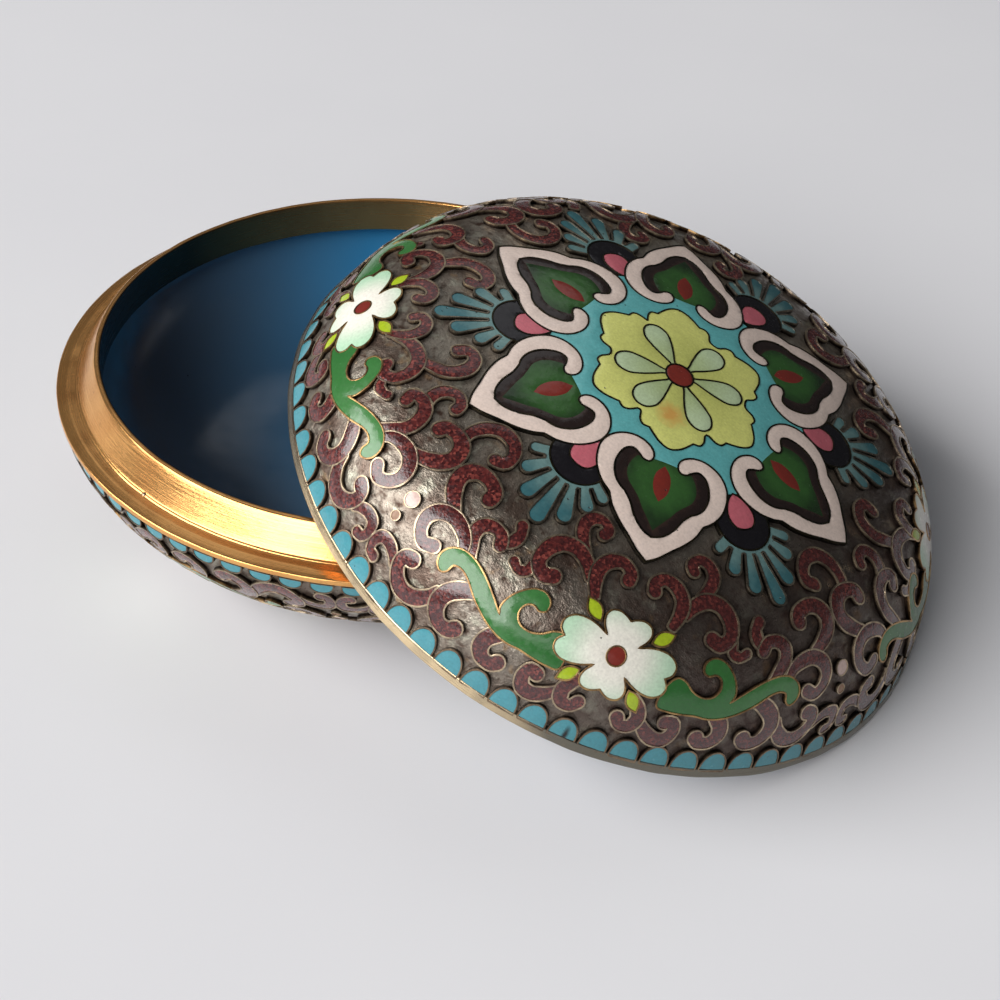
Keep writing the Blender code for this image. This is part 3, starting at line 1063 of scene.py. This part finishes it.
def brushed_gilt(name, bright, tarnish_and_shade, amount, streak=0.5, lit_side=None, painted_shade_radius=None):
    """Gilt metal turned on a lathe: fine lines run round it, and tarnish gathers in clouds.

    With a lit side, in degrees round the ring, the gilt stays bright there, a painted highlight, and the rest
    of the ring is painted dark all over, a painted shade. What lies within the painted shade radius, in mm,
    is painted nearly black on the side where x is least, a painted shade."""
    look = Look(name, metallic=0.86, roughness=0.24)
    tarnish_and_shade = colour(*tarnish_and_shade)
    x, y, z = look.node("SeparateXYZ", {0: look.place}).node.outputs
    radius = look.distance_from(0.0, 0.0)
    along = look.maths("MULTIPLY", look.maths("ARCTAN2", y, x), 0.6)
    lines = look.noise(0.16, 4.0, look.node("CombineXYZ", {0: radius, 1: along, 2: z}))
    cloud = look.noise(7.0, 4.0)
    dull = look.between(cloud, 0.42, 0.70, 0.0, amount)
    # Painted highlight and shade: bright gilt only round the lit side, and the tarnish colour painted over
    # the rest as shade
    if lit_side is not None:
        across = look.vector_maths("DOT_PRODUCT", look.place, (*unit(math.radians(lit_side)), 0.0))
        worn = look.maths("ADD", across, look.maths("MULTIPLY", cloud, 8.0))
        dull = look.maths("MAXIMUM", dull, look.between(worn, 46.0, 53.0, 0.92, 0.0))
    look.base = look.mix(dull, colour(*bright), tarnish_and_shade)
    spots = look.clouds(0.9, 4.0, 0.66, 0.74, 0.0, 0.6 * amount + 0.15)
    look.stain(spots, colour(84, 50, 24))
    look.stain(look.between(lines, 0.30, 0.75, 0.0, 0.18), tarnish_and_shade)
    # Painted shade: inside this radius the lip is painted nearly black on the side where x is least, which
    # lies in shade
    if painted_shade_radius is not None:
        within = look.between(radius, painted_shade_radius, painted_shade_radius + 0.3, 1.0, 0.0)
        side = look.between(x, -34.0, 6.0, 0.95, 0.0)
        look.stain(look.maths("MULTIPLY", within, side), colour(40, 32, 26))
    rough = look.between(lines, 0.3, 0.7, 0.14, 0.30)
    return look.use(rough, look.bump(look.noise(0.6), 0.03, 0.5, look.bump(lines, 0.03, streak)))


def lining_enamel(name, deep, pale, shaded_grey):
    """Smooth blue enamel that lines both halves, painted grey towards one side as a painted shade."""
    look = Look(name, roughness=0.12)
    x = look.node("SeparateXYZ", {0: look.place})
    look.base = look.mix(look.clouds(34.0, 1.0, 0.3, 0.7), colour(*deep), colour(*pale))
    # Painted shade: the side where x is least is painted grey, where the lining lies in shade
    look.stain(look.between(x, -40.0, -4.0, 1.0, 0.0), colour(*shaded_grey))
    look.stain(look.pits(1.6, 0.05, 0.10, 0.40), (0.004, 0.006, 0.012), 0.8)
    rough = look.clouds(3.0, 4.0, 0.3, 0.7, 0.14, 0.26)
    return look.use(rough, look.bump(look.noise(5.0, 2.0), 0.08, 0.4))


def make_looks():
    """The material of each group of pieces."""
    pit = (PIT_PLACE, PIT_REACH, (16, 16, 16))
    stain = (STAIN_PLACE, STAIN_REACH, (204, 158, 84))
    return {
        "scrolls": speckled("maroon_enamel", (54, 22, 23), (90, 37, 35), (132, 66, 58)),
        "scallops": enamel("turquoise_scallops", (72, 142, 154), (122, 172, 172), mark=pit),
        "leaves": enamel("green_leaves", (48, 104, 50), (76, 130, 74)),
        "flowers": enamel("white_flowers", (244, 240, 228), (172, 216, 180), 0.15),
        "buds": enamel("yellow_green_buds", (168, 190, 40), (206, 214, 84)),
        "reds": enamel("brick_red", (124, 46, 38), (146, 60, 50)),
        "dots": enamel("ivory_dots", (214, 186, 176), (232, 208, 198), 0.6),
        "worn_dots": enamel("worn_tan_dots", (150, 112, 84), (188, 156, 126), 0.8, gloss=0.3),
        "bands": enamel("pinkish_white_bands", (236, 216, 204), (246, 232, 224)),
        "hearts": enamel("green_hearts", (54, 94, 46), (30, 46, 28), 0.8),
        "heart_fields": enamel("dark_heart_fields", (40, 30, 28), (62, 46, 40), 0.8),
        "disc": enamel("turquoise_disc", (104, 184, 186), (132, 204, 202), 0.8),
        "outer_petals": enamel("yellow_petals", (196, 200, 112), (222, 224, 130), mark=stain),
        "inner_petals": enamel("pale_green_petals", (176, 194, 140), (196, 216, 176)),
        "fans": enamel("blue_fans", (108, 140, 138), (50, 100, 108), 1.0, 1.0),
        "crescents": enamel("black_crescents", (24, 22, 26), (36, 34, 40), 0.6),
        "pinks": enamel("pink_drops", (198, 104, 116), (222, 140, 150), 0.6),
        "scroll_wires": wire_metal("cream_wire", (188, 170, 142), (122, 106, 92), (44, 35, 30)),
        "scallop_wires": wire_metal("brown_wire", (136, 116, 94), (88, 74, 62), (40, 32, 26)),
        "picture_wires": wire_metal("gold_wire", (178, 144, 96), (112, 86, 58), (46, 34, 26)),
        "medallion_wires": wire_metal("dark_wire", (70, 62, 44), (34, 36, 30), (24, 22, 18)),
        "fan_wires": wire_metal("grey_wire", (150, 140, 124), (90, 84, 74), (40, 34, 28)),
        "ground": ground_metal("silvered_brass_ground"),
        # The lining's last colour is the grey of its painted shade
        "lining": lining_enamel("blue_lining", (38, 98, 138), (47, 118, 163), (86, 100, 116)),
        # The rim has real tarnish clouds, and is also painted dark away from its lit side as shade
        "rim": brushed_gilt("worn_and_shaded_rim_gilt", (224, 200, 160), (98, 98, 92), 0.6,
                            lit_side=RIM_LIT_SIDE),
        "collar": brushed_gilt("collar_gilt", (230, 173, 105), (184, 115, 60), 0.35, streak=0.4,
                               painted_shade_radius=LIP_INSIDE + 0.1),
    }


# ---------------------------------------------------------------- turned pieces
LONGEST_STRAIGHT = 1.0
CUT_LIMIT = 0.45                # of a side's length, for its rounded corners
RING_LUMP = 3.0


def rounded(section, cut, steps=4):
    """A closed section with each corner rounded and its long straights divided."""
    section = np.array(section, float)
    points = []
    for before, corner, after in zip(np.roll(section, 1, 0), section, np.roll(section, -1, 0)):
        start, end = (corner + (other - corner) * min(cut / np.hypot(*(other - corner)), CUT_LIMIT)
                      for other in (before, after))
        for t in np.linspace(0, 1, steps + 1):
            points.append((1 - t) ** 2 * start + 2 * t * (1 - t) * corner + t * t * end)
    return split_long(points)


def split_long(points):
    """The closed section with its long straights divided."""
    divided = []
    for point, after in zip(points, points[1:] + points[:1]):
        count = max(1, math.ceil(np.hypot(*(after - point)) / LONGEST_STRAIGHT))
        divided += [point + (after - point) * step / count for step in range(count)]
    return divided


def uneven(size):
    """A relief that makes a turned ring a little out of true, in lumps about RING_LUMP long."""
    def relief(r, z, angle):
        flat = np.stack((angle * 50 / RING_LUMP, z * 0.3 + 7), 1)
        return r + size * value_noise(flat, 1.0, 21), z + size * value_noise(flat, 1.0, 22)
    return relief


def collar_section():
    """The gilt collar: the lip's slope, the crease and the ledge."""
    ledge_bottom = LEDGE_HEIGHT - COLLAR_THICKNESS
    crease_top = LEDGE_HEIGHT + CREASE_RISE + CREASE_BEAD
    return rounded((
        (LIP_INSIDE, LIP_HEIGHT),
        (LIP_RADIUS, LIP_HEIGHT),
        (CREASE_RADIUS - 0.10, crease_top),
        (CREASE_RADIUS + 0.10, crease_top),
        (CREASE_RADIUS + 0.30, LEDGE_HEIGHT + CREASE_RISE - 0.03),
        ((CREASE_RADIUS + RADIUS) / 2, LEDGE_HEIGHT + CREASE_RISE / 2 + LEDGE_CROWN),
        (RADIUS, LEDGE_HEIGHT),
        (RADIUS, ledge_bottom),
        (LIP_INSIDE, ledge_bottom),
    ), 0.25)


def rim_section(surface):
    """The gilt rim: a flat strip from the scallops down to the lid's edge, and its inner side."""
    top_r, top_z = surface.section(RIM_TOP_ARC, 0.0)
    return rounded((
        (top_r - 0.6, top_z + 0.02),
        (top_r, top_z),
        (LID_RADIUS, 0.0),
        (LID_RADIUS - RIM_WIDTH, 0.0),
        surface.section(RIM_INSIDE_ARC, LINING_FOOT),
    ), 0.15)


def foot_section():
    """The foot ring: upright inside, and a little wider at its top outside."""
    inside = FOOT_RADIUS - FOOT_WIDTH
    outside = FOOT_RADIUS + FOOT_STEP
    return rounded(((inside, FOOT_TOP), (outside, FOOT_TOP), (FOOT_RADIUS, 0.0), (inside, 0.0)), 0.2)


def lid_lining_lines(surface):
    """Two lines (r, z) of the lid's lining, at its upper and lower faces."""
    arcs = np.linspace(0, GROUND_END_ARC, 60)
    return [np.stack(surface.section(arcs, height), 1) for height in (GROUND_FOOT - 0.01, LINING_FOOT)]


def softened(points, rounds=40):
    """An evenly spaced line with its bends spread out, ends kept."""
    for _ in range(rounds):
        points[1:-1] = (points[:-2] + 2 * points[1:-1] + points[2:]) / 4
    return points


def bowl_lining_lines():
    """Two lines (r, z) of the bowl's lining: its face, and the same line a little behind it."""
    wall = RADIUS - 2 * WALL
    inside = flare((FOOT_RADIUS - WALL, FLOOR_THICKNESS), (wall, BOWL_TOP - TURN_IN), 60)
    inside = softened(evenly(np.vstack(((0.0, FLOOR_THICKNESS), inside)), 0.9))
    turned_in = arc_points((wall - TURN_IN, BOWL_TOP - TURN_IN), TURN_IN, 0.0, QUARTER_TURN, 10)
    face = np.vstack((inside, turned_in[1:]))
    ahead = directions(face)
    behind = face + LINING_THICKNESS * np.stack((ahead[:, 1], -ahead[:, 0]), 1)
    behind[0] = (0.0, FLOOR_THICKNESS - LINING_THICKNESS)
    behind[:, 1] = np.minimum(behind[:, 1], BOWL_TOP + 0.1)
    return face, behind


def build_lid(surface, looks):
    """The lid's ground, lining and rim."""
    ground = ground_shell("lid_ground", surface, GROUND_END_ARC, seed=3)
    ground = add_piece(ground, looks["ground"], surface.matrix)
    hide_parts("lid_dome")
    lining = turned_shell("lid_lining", *lid_lining_lines(surface), steps=160)
    add_piece(lining, looks["lining"], surface.matrix)
    rim = turned_ring("lid_rim_band", rim_section(surface), 360, uneven(0.05))
    rim = add_piece(rim, looks["rim"], surface.matrix)
    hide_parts("lid_rim")


def build_base(surface, looks):
    """The bowl's ground, lining, collar with its drop of solder, foot and underside."""
    upright = Matrix.Identity(4)
    ground = ground_shell("base_ground", surface, surface.arc[-1], seed=31)
    ground = add_piece(ground, looks["ground"], surface.matrix)
    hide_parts("base_bowl")
    lining = turned_shell("base_lining", *bowl_lining_lines(), steps=160)
    add_piece(lining, looks["lining"], upright)
    collar = turned_ring("base_gilt_collar", collar_section(), 420, uneven(0.03))
    collar = add_piece(collar, looks["collar"], upright)
    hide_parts("base_collar")
    crown = arc_points((0.0, 0.0), BEAD_RADIUS, QUARTER_TURN, 0.0, 6)
    bead = turned_shell("base_solder_bead", crown, [(0.0, BEAD_FOOT), (BEAD_RADIUS, BEAD_FOOT)], steps=24)
    place = Vector((*(CREASE_RADIUS * unit(BEAD_ANGLE)), LEDGE_HEIGHT + CREASE_RISE))
    add_piece(bead, looks["scroll_wires"], Matrix.Translation(place * MM))
    foot = turned_ring("base_foot_ring", foot_section(), 200, uneven(0.02))
    add_piece(foot, looks["rim"], upright)
    plate = [((0.0, height), (FOOT_RADIUS - 1.0, height)) for height in (UNDERSIDE_TOP, UNDERSIDE_BOTTOM)]
    add_piece(turned_shell("base_underside", *plate, steps=120), looks["lining"], upright)


# ---------------------------------------------------------------- stage
CAMERA_DISTANCE = 0.32246
CAMERA_ELEVATION = math.radians(37.7927)
CAMERA_YAW = math.radians(-3.1914)
CAMERA_PITCH = math.radians(-0.2658)
CAMERA_ROLL = math.radians(-1.5159)
LENS = 72
SENSOR = 36
FLOOR_HALF = 6.0
COOL = (0.97, 0.98, 1.0)
SURROUND = (0.86, 0.88, 0.92, 1.0)
SURROUND_STRENGTH = 0.045


def make_camera():
    """The camera: in front of the box at the photograph's height, turned a little off its middle."""
    data = bpy.data.cameras.new("camera")
    data.lens = LENS
    data.sensor_width = SENSOR
    data.clip_start, data.clip_end = 0.01, 10
    camera = new_object("camera", data)
    view = Matrix.Rotation(QUARTER_TURN - CAMERA_ELEVATION, 4, "X")
    view @= Matrix.Translation((0.0, 0.0, CAMERA_DISTANCE))
    for angle, axis in ((CAMERA_YAW, "Y"), (CAMERA_PITCH, "X"), (-CAMERA_ROLL, "Z")):
        view @= Matrix.Rotation(angle, 4, axis)
    camera.matrix_world = view
    bpy.context.scene.camera = camera


def softbox(name, azimuth, elevation, distance, size, power, tint):
    """An area light, (width, height) in metres, that faces the box.

    Its azimuth is in degrees from behind the box: 90 is on the right, and -90 on the left."""
    around, above = math.radians(azimuth), math.radians(elevation)
    away = Vector((math.sin(around) * math.cos(above), math.cos(around) * math.cos(above), math.sin(above)))
    data = bpy.data.lights.new(name, "AREA")
    data.shape = "RECTANGLE"
    data.size, data.size_y = size
    data.energy = power
    data.color = tint
    light = new_object(name, data)
    light.location = away * distance
    light.rotation_mode = "QUATERNION"
    light.rotation_quaternion = away.to_track_quat("Z", "Y")


def make_world():
    """A pale, even surround."""
    world = bpy.data.worlds.new("studio")
    bpy.context.scene.world = world
    world.use_nodes = True
    background = world.node_tree.nodes["Background"]
    background.inputs["Color"].default_value = SURROUND
    background.inputs["Strength"].default_value = SURROUND_STRENGTH


def make_floor():
    """A plain pale floor with a faint grain."""
    look = Look("pale_floor")
    look.base = look.mix(look.noise(60.0), colour(226, 226, 230), colour(232, 232, 235))
    material = look.use(0.55, look.bump(look.noise(1.2, 2.0), 0.02, 0.3))
    mesh = bpy.data.meshes.new("floor")
    corners = [(x * FLOOR_HALF, y * FLOOR_HALF, 0) for x, y in ((-1, -1), (1, -1), (1, 1), (-1, 1))]
    mesh.from_pydata(corners, [], [(0, 1, 2, 3)])
    keep_places(mesh)
    mesh.materials.append(material)
    floor = new_object("floor", mesh)


def make_stage():
    """Camera, lights, floor and colour management."""
    make_camera()
    make_world()
    make_floor()
    softbox("left_window", -117, 33, 3.0, (4.8, 1.8), 190.0, (1.0, 0.99, 0.98))
    softbox("low_front", -170, 19, 2.2, (1.2, 0.4), 3.5, (1.0, 0.99, 0.97))
    softbox("back_wall", 2, 53, 2.6, (2.0, 1.3), 4.7, COOL)
    softbox("low_right", 92, 12, 2.6, (3.0, 0.5), 2.4, COOL)
    bpy.context.scene.view_settings.view_transform = "Standard"


def main():
    """Builds the whole scene."""
    make_stage()
    looks = make_looks()
    lid = Surface(dome_profile(), lid_matrix())
    bowl = Surface(bowl_profile(), Matrix.Rotation(math.pi, 4, "X"))
    build_lid(lid, looks)
    build_base(bowl, looks)
    lay_cells("lid", lid_cells(), lid, looks)
    lay_cells("base", base_cells(bowl.arc[-1]), bowl, looks)


main()
